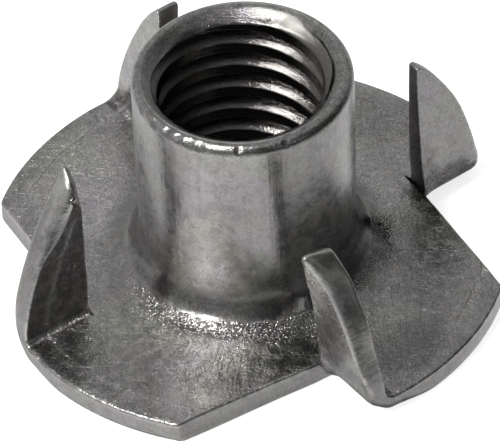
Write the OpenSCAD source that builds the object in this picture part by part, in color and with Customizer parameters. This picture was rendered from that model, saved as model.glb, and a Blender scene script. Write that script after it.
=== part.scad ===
// Four-prong tee nut, drawn and pressed from one piece of sheet steel.
// Z is the barrel's axis and z = 0 is the underside of the flange.
// Prong 0 runs along +X, and the others follow every 90 degrees.

/* [Flange] */
// Outer diameter of the flange
flange_d = 22; // [21.4:0.1:24]
// Thickness of the sheet
sheet_t = 1.07; // [0.9:0.01:1.3]
// Distance from the axis to the straight cut that freed each prong
flat_dist = 7.77; // [7.6:0.01:7.9]
// Skew of that cut from square with its prong, in degrees
flat_skew = 7.8; // [6:0.1:10]
// Width of the band at the rim where the top face rolls down
roll_w = 0.85; // [0.4:0.05:1]
// Depth by which the top face rolls down at the rim
roll_drop = 0.1; // [0.05:0.01:0.2]
// Rounding of the rim's lower corner
under_round = 0.22; // [0.1:0.01:0.3]

/* [Barrel] */
// Outer diameter of the barrel
barrel_d = 9.28; // [9.1:0.01:9.8]
// Height from the underside of the flange to the top of the barrel
height = 10.9; // [8:0.1:15]
// Radius of the fillet between barrel and flange
barrel_fillet = 1.8; // [1:0.1:2]
// Rounding of the barrel's upper outer edge
lip_round = 0.38; // [0.2:0.01:0.41]
// Radius of the drawn edge around the hole on the underside
entry_round = 0.9; // [0.4:0.1:1.2]

/* [Thread] */
// Bore diameter, the minor diameter of an M8 x 1.25 thread
bore_d = 6.84; // [6.65:0.01:6.91]
// Mouth diameter of the shallow countersink at the top
sink_d = 8.44; // [8:0.01:8.5]
// Included angle of that countersink
sink_a = 136; // [120:1:140]

/* [Prongs] */
// Height of the prong tips above the underside of the flange
prong_h = 8.37; // [7:0.01:9]
// Distance from the axis to each prong's upright edge
prong_in = 7.58; // [7.56:0.01:7.8]
// Offset of each prong's inner face from the plane through the axis
prong_off = 1.05; // [0.8:0.01:1.4]
// Distance from the axis to the foot of each prong's curved edge
prong_out = 10.9; // [10.7:0.01:10.95]
// Radius of each prong's curved edge
prong_r = 13.2; // [12.5:0.1:16]
// Lean of that edge's centre below the foot of the prong
prong_sink = 1.7; // [1.2:0.1:2.2]
// Inside radius of the bend at the foot of each prong
bend_r = 0.34; // [0.2:0.01:0.5]
// Angle through which each prong is folded up
bend_a = 87; // [82:0.5:90]
// Clearance cut beside each prong's foot
slit = 0.08; // [0.06:0.01:0.12]

/* [Hidden] */
$fn = 180;

flange_r = flange_d / 2;
barrel_r = barrel_d / 2;
bore_r = bore_d / 2;
sink_r = sink_d / 2;
sink_k = tan(sink_a / 2);
turns = [0, 90, 180, 270];
e = 0.01;
far = 3 * flange_d;

// The fold of a prong: its axis runs along X at this y and z
fold_y = bend_r - prong_off;
fold_z = sheet_t + bend_r;
// Length of the flat blade from the end of the fold to the tip
blade_l = (prong_h - fold_z + bend_r * cos(bend_a)) / sin(bend_a);
// The curved edge's centre lies on the inner side of the axis, below the fold's end
edge_x = prong_out - sqrt(prong_r * prong_r - prong_sink * prong_sink);
// Radius of the arc by which the top face rolls down at the rim
roll_r = (roll_w * roll_w + roll_drop * roll_drop) / (2 * roll_drop);
// The straight cut as a line: its x at a given y
function cut_x(y) = (flat_dist + y * sin(flat_skew)) / cos(flat_skew);
// y at which the cut reaches the slit beside the prong's foot
slit_x = prong_in - slit;
slit_y = (slit_x * cos(flat_skew) - flat_dist) / sin(flat_skew);

// Half section of the flange plate, with its rolled rim
module plate_section() {
    difference() {
        square([flange_r, sheet_t]);
        // lower corner
        difference() {
            translate([flange_r - under_round, -e])
                square([under_round + e, under_round + e]);
            translate([flange_r - under_round, under_round])
                circle(under_round);
        }
        // shallow roll of the top face
        difference() {
            translate([flange_r - roll_w, sheet_t - roll_drop])
                square([roll_w + e, roll_drop + e]);
            translate([flange_r - roll_w, sheet_t - roll_r])
                circle(roll_r, $fn = 720);
        }
    }
}

// Half section of the barrel, with the fillet at its foot
module barrel_section() {
    difference() {
        union() {
            square([barrel_r, height]);
            difference() {
                translate([0, sheet_t / 2])
                    square([barrel_r + barrel_fillet, sheet_t / 2 + barrel_fillet]);
                translate([barrel_r + barrel_fillet, sheet_t + barrel_fillet])
                    circle(barrel_fillet);
            }
        }
        // rounded outer edge of the lip
        difference() {
            translate([barrel_r - lip_round, height - lip_round])
                square([lip_round + e, lip_round + e]);
            translate([barrel_r - lip_round, height - lip_round])
                circle(lip_round);
        }
    }
}

// Half section of the tapped hole: drawn entry, bore and countersink
module hole_section() {
    translate([0, -1])
        square([bore_r, height + 2]);
    polygon([
        [0, height - sink_r / sink_k], [sink_r, height],
        [sink_r + sink_k, height + 1], [0, height + 1]
    ]);
    difference() {
        translate([bore_r - e, -e])
            square([entry_round + e, entry_round + e]);
        translate([bore_r + entry_round, entry_round])
            circle(entry_round);
    }
}

// What each prong's blank leaves open in the flange
module notch() {
    translate([0, 0, -1])
        linear_extrude(sheet_t + 2)
            polygon([
                [slit_x, fold_y], [slit_x, slit_y],
                [cut_x(-far), -far], [far, -far], [far, fold_y]
            ]);
}

// Section of a prong at its outer edge: the sheet with its lower corner rounded
module edge_section(reach) {
    difference() {
        square([sheet_t, reach]);
        difference() {
            translate([sheet_t - under_round, reach - under_round])
                square([under_round + e, under_round + e]);
            translate([sheet_t - under_round, reach - under_round])
                circle(under_round);
        }
    }
}

// One prong: a quarter fold, then a flat blade with a curved outer edge.
// In here x runs through the sheet, y up the prong and -z away from the barrel.
module prong() {
    translate([0, fold_y, fold_z])
        rotate([0, 90, 0])
            rotate([180, 0, 0])
                difference() {
                    union() {
                        rotate_extrude(angle = bend_a)
                            translate([bend_r, 0])
                                mirror([0, 1])
                                    edge_section(prong_out + 0.03);
                        rotate([0, 0, bend_a])
                            intersection() {
                                translate([bend_r, -prong_sink, -edge_x])
                                    rotate([0, 90, 0])
                                        rotate_extrude($fn = 720)
                                            mirror([1, -1])
                                                edge_section(prong_r);
                                translate([bend_r - 1, 0, -far])
                                    cube([sheet_t + 2, blade_l, far]);
                            }
                    }
                    // upright edge, sheared through fold and blade alike
                    translate([-far / 2, -far / 2, -prong_in])
                        cube([far, far, far]);
                }
}

module tee_nut() {
    color([0.56, 0.56, 0.55])
        difference() {
            union() {
                difference() {
                    rotate_extrude() {
                        plate_section();
                        barrel_section();
                    }
                    for (a = turns) rotate(a) notch();
                }
                for (a = turns) rotate(a) prong();
            }
            rotate_extrude() hole_section();
        }
}

tee_nut();
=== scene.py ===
"""Four-prong tee nut: the visual model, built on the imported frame.

One closed mesh stands for the CAD node. It is worked out in millimetres in the row frame (+Z up the barrel,
prong 0 along +X) and turned to metres at the end. The barrel, lip and thread are revolved or helical grids, the
flange is a planar triangulation, the prongs are grids folded through their bend, and one strip of wall runs round
the whole cut outline.
"""
import math
import bpy
import bmesh
import numpy as np
from mathutils import Matrix, Vector, noise
from mathutils.geometry import delaunay_2d_cdt


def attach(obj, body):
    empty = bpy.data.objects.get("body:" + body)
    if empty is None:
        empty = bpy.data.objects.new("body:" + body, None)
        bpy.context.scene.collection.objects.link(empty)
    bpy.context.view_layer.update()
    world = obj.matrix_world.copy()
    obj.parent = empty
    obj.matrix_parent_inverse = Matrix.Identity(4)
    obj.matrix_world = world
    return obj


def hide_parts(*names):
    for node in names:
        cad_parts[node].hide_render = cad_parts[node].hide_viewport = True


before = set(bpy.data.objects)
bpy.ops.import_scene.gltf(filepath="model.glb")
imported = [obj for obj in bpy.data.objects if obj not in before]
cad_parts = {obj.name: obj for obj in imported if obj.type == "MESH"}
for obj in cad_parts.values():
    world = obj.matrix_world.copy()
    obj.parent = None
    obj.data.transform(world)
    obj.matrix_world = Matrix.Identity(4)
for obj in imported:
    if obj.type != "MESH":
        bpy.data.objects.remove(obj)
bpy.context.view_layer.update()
MM = 0.001
rad = math.radians

# ---------------------------------------------------------------- sizes, mm
R = 11.0            # flange
T = 1.067           # sheet
H = 10.90           # top of the barrel
RB, RB_TOP = 4.600, 4.640  # barrel outside, above its fillet and under the lip
LIP = 0.39          # outer rounding of the lip
RIDGE = 4.25        # edge between that rounding and the shallow countersink
R_MIN = 3.42        # thread crests
R_MAJ = 4.0         # thread roots
PITCH = 1.25
MOUTH_Z, MOUTH_S, MOUTH_K = 10.535, 3.4, 0.22  # where the shallow countersink meets the crests, its growth in radius per height, and that part's width
TAP = 0.037         # the tapped thread's axis leans by this slope towards LEAN_A
LEAN_A = rad(54.8)
ENTRY = 0.9         # drawn edge under the flange
FIL = 1.8           # fillet at the barrel's foot
R_RING = 6.62       # where the revolved fillet hands over to the flange
U_IN = 7.56         # upright edge of a prong
CUT_A = rad(-7.765)  # skew of the cuts
# each prong came out of the tool a little different: 0 front right, 1 right, 2 rear left, 3 left
P_OFF = [-1.045, -1.30, -1.045, -1.045]      # inner face, off the plane through the axis
RI = [0.336, 0.336, 0.66, 0.28]              # inside radius of the fold
BEND = [rad(a) for a in (86.2, 87.8, 88.5, 88.2)]
CUT_D = [7.766, 7.84, 7.766, 7.766]          # distance of the cut beside it
SPREAD = [0.09, 0.05, 0.03, 0.0]             # how far that cut runs outward at its lower side, near the rim
TALL = [0.945, 0.975, 0.996, 1.0]            # height against the common outline
SHIFT = [0.0, -0.22, 0.0, 0.0]               # shift of the curved edge along the prong
TIP = [0.30, 0.12, 0.18, 0.34]               # rounding of the tip
THIN = [-0.20, -0.04, -0.14, -0.14]          # change of thickness through the fold, and at its inner end
SWELL = [0.24, 0.12, 0.10, 0.10]
FLARE = 0.14                                 # how far the upright edge runs outward at its foot
FOLD_Y = [p_ + r_ for p_, r_ in zip(P_OFF, RI)]
FOLD_Z = [T + r_ for r_ in RI]
R_TOP = 0.10                       # rounding of the cut edges' upper side
R_RIM, R_SHEAR = 0.17, 0.06        # and of their lower side: rim, sheared cuts
R_FOOT = [0.66, 0.45, 0.25, 0.55]  # the same at the outer corner of each fold
ROLL_W, ROLL_D, ROLL_KINK = 1.0, 0.075, 0.03  # roll of the top face along the blank's rim, from a crease on a 10 mm radius
NA = 240                           # columns round the barrel
TAU = 2 * math.pi


def lerp(a, b, t):
    return a + (b - a) * t


def smooth(a, b, x):
    t = np.clip((np.asarray(x, float) - a) / (b - a), 0, 1)
    return t * t * (3 - 2 * t)


def turn(P, k):
    """Turns points by k quarter turns about Z."""
    P = np.asarray(P, float)
    Q = P.copy()
    c, s = (1, 0, -1, 0)[k % 4], (0, 1, 0, -1)[k % 4]
    Q[..., 0], Q[..., 1] = c * P[..., 0] - s * P[..., 1], s * P[..., 0] + c * P[..., 1]
    return Q


# ---------------------------------------------------------------- mesh store
class Soup:
    """Vertices in mm with four marks each (sheared, edge, painted shade, bore), faces as index tuples, a flow
    coordinate in mm for each face corner, and a region number for each face."""

    def __init__(self):
        self.v, self.f, self.uv, self.reg, self.m, self.line, self.n = [], [], [], [], [], [], 0

    def add(self, V, F, UV, region, flip=False, mark=(0, 0, 0, 0), line=0.0):
        V = np.asarray(V, float).reshape(-1, 3)
        UV = np.asarray(UV, float).reshape(-1, 2)
        for f in F:
            f = tuple(int(i) for i in f)
            if flip:
                f = f[::-1]
            self.f.append(tuple(i + self.n for i in f))
            self.uv.append(UV[list(f)])
            self.reg.append(region)
        self.v.append(V)
        m = np.asarray(mark, float)
        self.m.append(np.broadcast_to(m.reshape(-1, 4), (len(V), 4)).copy())
        self.line.append(np.broadcast_to(np.asarray(line, float).reshape(-1), (len(V),)).copy())
        self.n += len(V)

    def grid(self, P, UV, region, close=False, flip=False, mark=(0, 0, 0, 0), line=0.0):
        """P is rows by columns by 3. close joins the last column to the first."""
        P, UV = np.asarray(P, float), np.asarray(UV, float)
        nr, nc = P.shape[:2]
        M4 = np.broadcast_to(np.asarray(mark, float), (nr, nc, 4))
        if close:                      # repeat the first column, so that the flow coordinate runs on
            P = np.concatenate([P, P[:, :1]], 1)
            M4 = np.concatenate([M4, M4[:, :1]], 1)
            last = UV[:, -1:] + (UV[:, 1:2] - UV[:, :1])
            UV = np.concatenate([UV, last], 1)
            nc += 1
        i, j = np.meshgrid(np.arange(nr - 1), np.arange(nc - 1), indexing="ij")
        a = (i * nc + j).ravel()
        self.add(P, np.stack([a, a + 1, a + nc + 1, a + nc], -1), UV, region, flip, M4, line)


soup = Soup()
FLANGE, BARREL, LIPS, THREAD, WALL, UNDER = range(6)
ANG = np.arange(NA) / NA * TAU


def revolve(prof, region, flip=False, v0=0.0, mark=None):
    """prof is a list of (r, z) from one end to the other, mark a list of marks for them."""
    prof = np.asarray(prof, float)
    P = np.stack([prof[:, :1] * np.cos(ANG), prof[:, :1] * np.sin(ANG), np.repeat(prof[:, 1:], NA, 1)], -1)
    run = v0 + np.concatenate([[0], np.cumsum(np.hypot(*np.diff(prof, axis=0).T))])
    UV = np.stack([np.repeat((ANG * RB)[None], len(prof), 0), np.repeat(run[:, None], NA, 1)], -1)
    mark = np.zeros((len(prof), 4)) if mark is None else np.asarray(mark, float)
    soup.grid(P, UV, region, True, flip, np.repeat(mark[:, None], NA, 1))


# ---------------------------------------------------------------- barrel, lip, fillet
def arc(cx, cz, r, a0, a1, n):
    a = np.radians(np.linspace(a0, a1, n + 1))
    return [(cx + r * math.cos(t), cz + r * math.sin(t)) for t in a]


foot = [(R_RING, T)] + arc(RB + FIL, T + FIL, FIL, 270, 180, 15)
wall = [(lerp(RB, RB_TOP, float(smooth(3.5, 9.8, z))), z) for z in np.linspace(T + FIL, H - LIP, 22)[1:]]
lip = arc(RB_TOP - LIP, H - LIP, LIP, 0, 90, 7)[1:]
Z_HI, Z_LO = 10.80, 0.12           # the helical grid lies between these heights
mouth = [(RIDGE - 0.03, H - 0.003), (RIDGE - 0.09, H - 0.012), (RIDGE - 0.15, H - 0.035), (R_MIN + MOUTH_K + (Z_HI - MOUTH_Z - MOUTH_K / MOUTH_S) * 1.73, Z_HI)]
revolve(foot + wall, BARREL)
revolve([wall[-1]] + lip, LIPS, mark=[(0, g, 0, 0) for g in (0, 0, .2, .5, .7, .6, .3, .0)])
revolve([lip[-1]] + mouth, LIPS, mark=[(0, .2, 0, 0), (0, .4, 0, 0), (0, .2, 0, .05), (0, 0, 0, .12), (0, 0, 0, .3)])


# ---------------------------------------------------------------- thread
def base_r(z):
    """Radius of the plain hole at a height: drawn entry, bore, shallow countersink."""
    z = np.asarray(z, float)
    low = R_MIN + ENTRY - np.sqrt(np.maximum(ENTRY ** 2 - np.clip(ENTRY - z, 0, ENTRY) ** 2, 0))
    q, k = (z - MOUTH_Z) * MOUTH_S, 0.07                  # k rounds the corner between countersink and bore
    q = np.where(q > MOUTH_K, MOUTH_K + (q - MOUTH_K) * 1.73 / MOUTH_S, q)
    return np.maximum(low, R_MIN + np.where(np.abs(q) < k, (q + k) ** 2 / (4 * k), np.maximum(q, 0)))


# radius at steps along one pitch: a broad crest, then the lit upper flank, a narrow root and the hidden lower flank
STEPS = [(0.000, 3.424), (0.060, 3.418), (0.120, 3.420), (0.170, 3.424), (0.196, 3.434), (0.220, 3.472), (0.290, 3.622), (0.360, 3.772),
         (0.430, 3.922), (0.468, 3.985), (0.500, 4.000), (0.532, 3.985), (0.600, 3.840), (0.700, 3.628), (0.780, 3.455), (0.800, 3.418),
         (0.812, 3.400), (0.830, 3.404), (0.850, 3.420), (0.900, 3.424)]
CREST_Z = 1.175     # height of a crest's middle at angle 0, within one pitch
M = len(STEPS)


def thread():
    ph = np.array([s[0] for s in STEPS])
    pr = np.array([s[1] for s in STEPS])
    turns = int(math.ceil((Z_HI - Z_LO) / PITCH)) + 4
    n_rows = turns * M + 1
    idx = np.arange(n_rows)
    z0 = CREST_Z - 3 * PITCH
    base = z0 + PITCH * (idx // M + ph[idx % M])            # row heights at angle 0
    rr = pr[idx % M]
    a = np.arange(NA + 1) / NA * TAU
    Z = base[:, None] + PITCH * a[None] / TAU
    r = np.repeat(rr[:, None], NA + 1, 1)
    side = np.cos(a - LEAN_A)[None]
    top_ = smooth(8.0, 10.6, Z)
    Z = Z - (TAP * 3.6 + 0.05 * top_) * side
    r = r - 0.12 * side * top_
    step = PITCH / NA
    Zc = np.clip(Z, Z_LO, Z_HI)
    Zc = np.where(Z_HI - Zc < 0.6 * step, Z_HI, Zc)
    Zc = np.where(Zc - Z_LO < 0.6 * step, Z_LO, Zc)
    b = base_r(Zc)
    fade = smooth(Z_LO + 0.02, Z_LO + 0.45, Zc) * (1 - smooth(Z_HI - 0.07, Z_HI, Zc))
    cut = np.where(r > R_MIN, R_MIN + (r - R_MIN), r)
    k = 0.02                                              # softens the line where the thread meets the cone
    d = cut - b
    m = np.where(np.abs(d) < k, (d + k) ** 2 / (4 * k), np.maximum(d, 0))
    r = b + m * fade
    r = np.where((Zc == Z_HI) | (Zc == Z_LO), b, r)
    P = np.stack([r * np.cos(a), r * np.sin(a), Zc], -1)
    UV = np.stack([np.repeat((a * R_MIN)[None], n_rows, 0), np.repeat((base[:, None]) * 1.4, NA + 1, 1)], -1)
    keep = (Zc.max(1) > Z_LO) & (Zc.min(1) < Z_HI)
    lo, hi = np.flatnonzero(keep)[[0, -1]]
    lo, hi = max(lo - 1, 0), min(hi + 1, n_rows - 1)
    P, UV, Zc = P[lo:hi + 1], UV[lo:hi + 1], Zc[lo:hi + 1]
    nr = len(P)
    F = []
    for i in range(nr - 1):
        for j in range(NA):
            if Zc[i, j] == Zc[i + 1, j] and Zc[i, j + 1] == Zc[i + 1, j + 1]:
                continue
            q = (i * (NA + 1) + j, i * (NA + 1) + j + 1, (i + 1) * (NA + 1) + j + 1, (i + 1) * (NA + 1) + j)
            F.append(q)
    depth = np.clip((np.hypot(P[..., 0], P[..., 1]) - base_r(P[..., 2])) / (R_MAJ - R_MIN), 0, 1)
    M4 = np.zeros(P.shape[:2] + (4,))
    lip_ = np.array([1.0 if q in (14, 15, 16, 17) else 0.0 for q in range(M)])[np.arange(lo, hi + 1) % M]
    M4[..., 1] = lip_[:, None] * (P[..., 2] < MOUTH_Z)
    # painted shade in the thread's roots
    M4[..., 2] = smooth(0.92, 1.0, depth)
    M4[..., 3] = lerp(0.3, 1.0, 1 - smooth(MOUTH_Z - 0.15, Z_HI, P[..., 2]))
    soup.add(P, F, UV, THREAD, flip=True, mark=M4)


thread()
R_LOW = float(base_r(Z_LO))
R_UNDER = R_MIN + ENTRY + 0.12
entry = [(R_LOW, Z_LO), (4.02, 0.0516), (4.14, 0.018), (R_MIN + ENTRY, 0.0), (R_UNDER, 0.0)]
revolve(entry, UNDER, mark=[(0, 0, 0, 1), (0, 0, 0, .7), (0, 0, 0, .3), (0, 0, 0, 0), (0, 0, 0, 0)])


# ---------------------------------------------------------------- the cut outline
class Edge:
    """A run of the sheet's cut edge: points on the wall in blank coordinates, outward normals, and roundings above and below."""

    def __init__(self, P, N, top=None, bot=None):
        self.P, self.N = np.asarray(P, float), np.asarray(N, float)
        n = len(self.P)
        self.top = np.full(n, R_TOP) if top is None else np.asarray(top, float)
        self.bot = np.full(n, R_SHEAR) if bot is None else np.asarray(bot, float)
        self.flare = np.zeros(n)

    def inset(self, which):
        r = self.top if which == "top" else self.bot - self.flare
        return self.P - r[:, None] * self.N


def line_pts(a, b, n):
    a, b = np.array(a, float), np.array(b, float)
    return a + np.linspace(0, 1, n + 1)[:, None] * (b - a)


def flange_edges(k):
    """In prong k's own frame: the cut from the rim's corner to the fold, then the rim from the fold to the next corner."""
    nc = np.array([math.cos(CUT_A), math.sin(CUT_A)])
    tc = np.array([-nc[1], nc[0]])
    rho = 0.34                                            # corner between rim and cut
    F = nc * (CUT_D[k] - rho) - tc * math.sqrt((R - rho) ** 2 - (CUT_D[k] - rho) ** 2)
    T1, T2 = F + nc * rho, F / np.linalg.norm(F) * R
    a2 = math.atan2(T2[1], T2[0])
    a1 = math.atan2(nc[1], nc[0])
    fy = FOLD_Y[k]
    gap = 0.035
    end_x = U_IN + FLARE - 2 * gap
    B = np.array([0.0, -2.3]); B[0] = (CUT_D[k] - B[1] * math.sin(CUT_A)) / math.cos(CUT_A)
    th = np.linspace(a2, a1, 7)
    corner = F + rho * np.stack([np.cos(th), np.sin(th)], -1)
    cn = np.stack([np.cos(th), np.sin(th)], -1)
    cut = line_pts(T1, B, 44)
    cutn = np.repeat(nc[None], len(cut), 0)
    slit = line_pts(B, (end_x, fy), 13)
    d = np.array([end_x, fy]) - B
    sn = np.array([d[1], -d[0]]) / np.linalg.norm(d)
    slitn = np.repeat(sn[None], len(slit), 0)
    slitn[-1] = (1, 0)
    m_ = nc + sn
    cutn[-1] = slitn[0] = m_ / np.linalg.norm(m_)
    th = np.linspace(math.pi, 0, 7)
    end = np.array([end_x + gap, fy]) + gap * np.stack([np.cos(th), np.sin(th)], -1)
    endn = -np.stack([np.cos(th), np.sin(th)], -1)
    P = np.concatenate([corner, cut[1:], slit[1:], end[1:]])
    N = np.concatenate([cn, cutn[1:], slitn[1:], endn[1:]])
    nb = len(corner) + len(cut) - 1
    bot = np.full(len(P), R_SHEAR)
    bot[:len(corner)] = np.linspace(0.14, 0.09, len(corner))
    first = Edge(P, N, np.full(len(P), R_TOP), bot)
    first.top[nb + 2:] = np.linspace(R_TOP, 0.06, len(P) - nb - 2)
    first.flare = SPREAD[k] * smooth(0, 8, np.arange(len(P))) * (1 - smooth(10, nb - 8, np.arange(len(P))))
    aC = math.atan2(fy, math.sqrt(R * R - fy ** 2))
    dn = CUT_D[(k + 1) % 4] - rho                         # the rim ends at the next prong's corner
    Fn = nc * dn - tc * math.sqrt((R - rho) ** 2 - dn ** 2)
    a3 = math.atan2(Fn[1], Fn[0]) + math.pi / 2
    th = np.linspace(aC, a3, 58)
    nn = np.stack([np.cos(th), np.sin(th)], -1)
    rimP = R * nn
    nn = nn.copy(); nn[0] = (1, 0)
    arc_ = R * (th - th[0])
    rb = lerp(R_FOOT[k], R_RIM, smooth(0, 2.2, arc_))
    rb = lerp(rb, 0.14, smooth(arc_[-1] - 2.5, arc_[-1], arc_))
    rb[-1] = 0.14
    return first, Edge(rimP, nn, np.full(58, R_TOP), rb)


U_RIM = [math.sqrt(R * R - f_ ** 2) for f_ in FOLD_Y]

# ---------------------------------------------------------------- a prong's outline, in (u, tau)
N_BEND, N_BLADE = 15, 46
# columns of a prong's faces, as distances from its curved edge; the crease of the roll is one of them
COLS = [0.0, 0.07, 0.15, 0.27, 0.40, 0.54, 0.68, 0.80, 0.88, 0.94, 0.98, 1.02, 1.08, 1.18]
NU = 26


def bez(P, n):
    s = np.linspace(0, 1, n)[:, None]
    P = np.asarray(P, float)
    return (1 - s) ** 3 * P[0] + 3 * s * (1 - s) ** 2 * P[1] + 3 * s * s * (1 - s) * P[2] + s ** 3 * P[3]


def prong_outline(k):
    """Left, tip and right edges of prong k as Edge runs, in (u, tau). tau is 0 at the start of the fold and BL at its end."""
    BL = BEND[k] * (RI[k] + 0.5 * T)
    C = bez([(10.729, 0), (11.50, 0.30), (8.67, 7.87), (6.90, 7.50)], 400)       # (u, height above the flange's top)
    C[:, 1] *= lerp(1.0, TALL[k], smooth(2.0, 7.3, C[:, 1]))
    C[:, 0] += SHIFT[k] * smooth(-0.5, 1.2, C[:, 1]) * (1 - 0.85 * smooth(1.4, 4.4, C[:, 1]))
    C = C[C[:, 1] >= RI[k]]
    C = np.stack([C[:, 0], C[:, 1] - RI[k] + BL], -1)
    # the fold's own edge joins the rim to the blade
    t = np.linspace(0, 1, 60)[:-1]
    s0, s1 = FOLD_Y[k] / U_RIM[k] * BL, (C[3, 0] - C[0, 0]) / (C[3, 1] - C[0, 1]) * BL
    h = lambda t: (2 * t ** 3 - 3 * t ** 2 + 1) * U_RIM[k] + (t ** 3 - 2 * t ** 2 + t) * s0 + (-2 * t ** 3 + 3 * t ** 2) * C[0, 0] + (t ** 3 - t ** 2) * s1
    full = np.concatenate([np.stack([h(t), t * BL], -1), C])
    tg = np.gradient(full, axis=0)
    tg /= np.linalg.norm(tg, axis=1)[:, None]
    nr = np.stack([tg[:, 1], -tg[:, 0]], -1)              # outward: away from the upright edge
    nr[0] = (1, 0)
    # tip circle: inside both the upright edge and the curve
    tip = TIP[k]
    off = full - nr * tip
    i = np.flatnonzero((off[:, 0] < U_IN + tip) & (off[:, 1] > BL + 2))[0]
    f = (U_IN + tip - off[i - 1, 0]) / (off[i, 0] - off[i - 1, 0])
    c = lerp(off[i - 1], off[i], f)
    n2 = lerp(nr[i - 1], nr[i], f); n2 /= np.linalg.norm(n2)
    t1, t2 = c + [-tip, 0], c + n2 * tip
    a1, a2 = math.pi, math.atan2(n2[1], n2[0])
    th = np.linspace(a1, a2, NU + 1)
    tipN = np.stack([np.cos(th), np.sin(th)], -1)
    tipP = c + tip * tipN
    rows = np.concatenate([np.linspace(0, BL, N_BEND + 1), [0]])[:-1]
    g = np.linspace(0, 1, N_BLADE + 1)[1:]
    left = np.concatenate([rows, BL + (t1[1] - BL) * g])
    L = np.stack([U_IN + FLARE * (1 - smooth(0.15, 3.0, left)), left], -1)
    lt = np.gradient(L, axis=0)
    lt /= np.linalg.norm(lt, axis=1)[:, None]
    LN = np.stack([-lt[:, 1], lt[:, 0]], -1)
    LN[0] = LN[-1] = (-1, 0)
    tr = np.concatenate([rows, BL + (t2[1] - BL) * g])
    ru = np.interp(tr, full[:, 1], full[:, 0])
    Rn = np.stack([np.interp(tr, full[:, 1], nr[:, 0]), np.interp(tr, full[:, 1], nr[:, 1])], -1)
    Rn /= np.linalg.norm(Rn, axis=1)[:, None]
    RP = np.stack([ru, tr], -1)
    RP[-1], Rn[-1] = t2, n2
    top = t1[1]
    tipb = (0.34, 0.07, 0.09, 0.12)[k]
    lb = lerp(R_SHEAR, 0.12, smooth(0, 0.8, left)); lb = lerp(lb, tipb, smooth(top - 1.0, top, left))
    rb = lerp(R_FOOT[k], 0.16, smooth(0, 3.0, tr)); rb = lerp(rb, tipb, smooth(top - 1.4, top, tr)); rb[-1] = tipb
    lt_ = np.full(len(L), 0.06)
    te, tm = (0.13, 0.06, 0.06, 0.52)[k], (0.14, 0.10, 0.12, 0.62)[k]      # worn upper corner at the tip, and below it
    rt_ = lerp(R_TOP, tm, smooth(top - 3.0, top - 1.1, tr)); rt_ = lerp(rt_, te, smooth(top - 0.9, top, tr)); rt_[-1] = te
    lt_ = lerp(lt_, te, smooth(top - 0.8, top, left)); lt_[-1] = te
    return Edge(L, LN, lt_, lb), Edge(tipP, tipN, np.full(NU + 1, te), np.full(NU + 1, tipb)), Edge(RP, Rn, rt_, rb), BL


def roll(dist):
    """How far the top face has rolled down at a distance from the blank's rim. It starts in a faint pressed line."""
    t = np.clip((ROLL_W - np.asarray(dist, float)) / ROLL_W, 0, None)
    line = 0.020 * np.exp(-((np.asarray(dist, float) - ROLL_W) / 0.07) ** 2)
    return ROLL_KINK * t + (ROLL_D - ROLL_KINK) * t * t + line


def fold(u, tau, w, k, BL):
    """A point of prong k: u out from the axis, tau along the sheet from the start of the fold, w below its top face."""
    u, tau, w = np.broadcast_arrays(np.asarray(u, float), np.asarray(tau, float), np.asarray(w, float))
    b = BEND[k]
    left, tip, right, _ = prongs[k]
    top = left.P[-1, 1]
    ue = np.interp(tau, right.P[:, 1], right.P[:, 0])
    # the sheet thins over the outside of the fold and swells at the fold's inner end
    bell = smooth(0, 0.45 * BL, tau) * (1 - smooth(0.7 * BL, BL + 1.7, tau))
    w = w * (1 + bell * (THIN[k] + SWELL[k] * np.exp(-((u - U_IN - 0.15) / 0.42) ** 2)) / T * (w / T))
    p = np.clip(tau, 0, BL) / BL * b
    s = np.maximum(tau - BL, 0)
    y = FOLD_Y[k] - (RI[k] + w) * np.sin(p) - s * math.cos(b)
    z = FOLD_Z[k] - (RI[k] + w) * np.cos(p) + s * math.sin(b)
    rise = tau - BL
    if k == 0:
        # this one has taken a blow: its tip is spread outward and the upper half of its curved edge bellies
        up = np.clip((tau - (top - 3.2)) / 3.2, 0, 1) ** 2
        y = y - 0.50 * up * (w / T) * (1 - smooth(0.1, 1.3, u - U_IN))
        z = z + 0.52 * (w / T) * smooth(top - 1.5, top + 0.1, tau) * (1 - smooth(0.2, 1.1, u - U_IN))
        near = np.clip((u - U_IN) / np.maximum(ue - U_IN, 0.3), 0, 1) ** 3
        mid = smooth(1.6, 4.0, rise) * (1 - smooth(5.2, 6.4, rise))
        u = u + 0.30 * near * mid * (1 - w / T)
        y = y + 0.08 * near * mid * (1 - w / T)
    if k == 1:
        y = y + w * (0.20 * smooth(0.2 * BL, 1.2 * BL, tau) + 0.28 * smooth(BL, top, tau)) + 0.10 * smooth(BL, top, tau)
    if k == 3:
        # its tip is drawn up on the outer side
        up = (w / T) * smooth(top - 1.2, top + 0.1, tau)
        z = z + up * (0.26 + 0.36 * np.exp(-((u - U_IN - 0.26) / 0.26) ** 2))
        u = u - 0.24 * up
    return turn(np.stack([u, y, z], -1), k)


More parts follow.
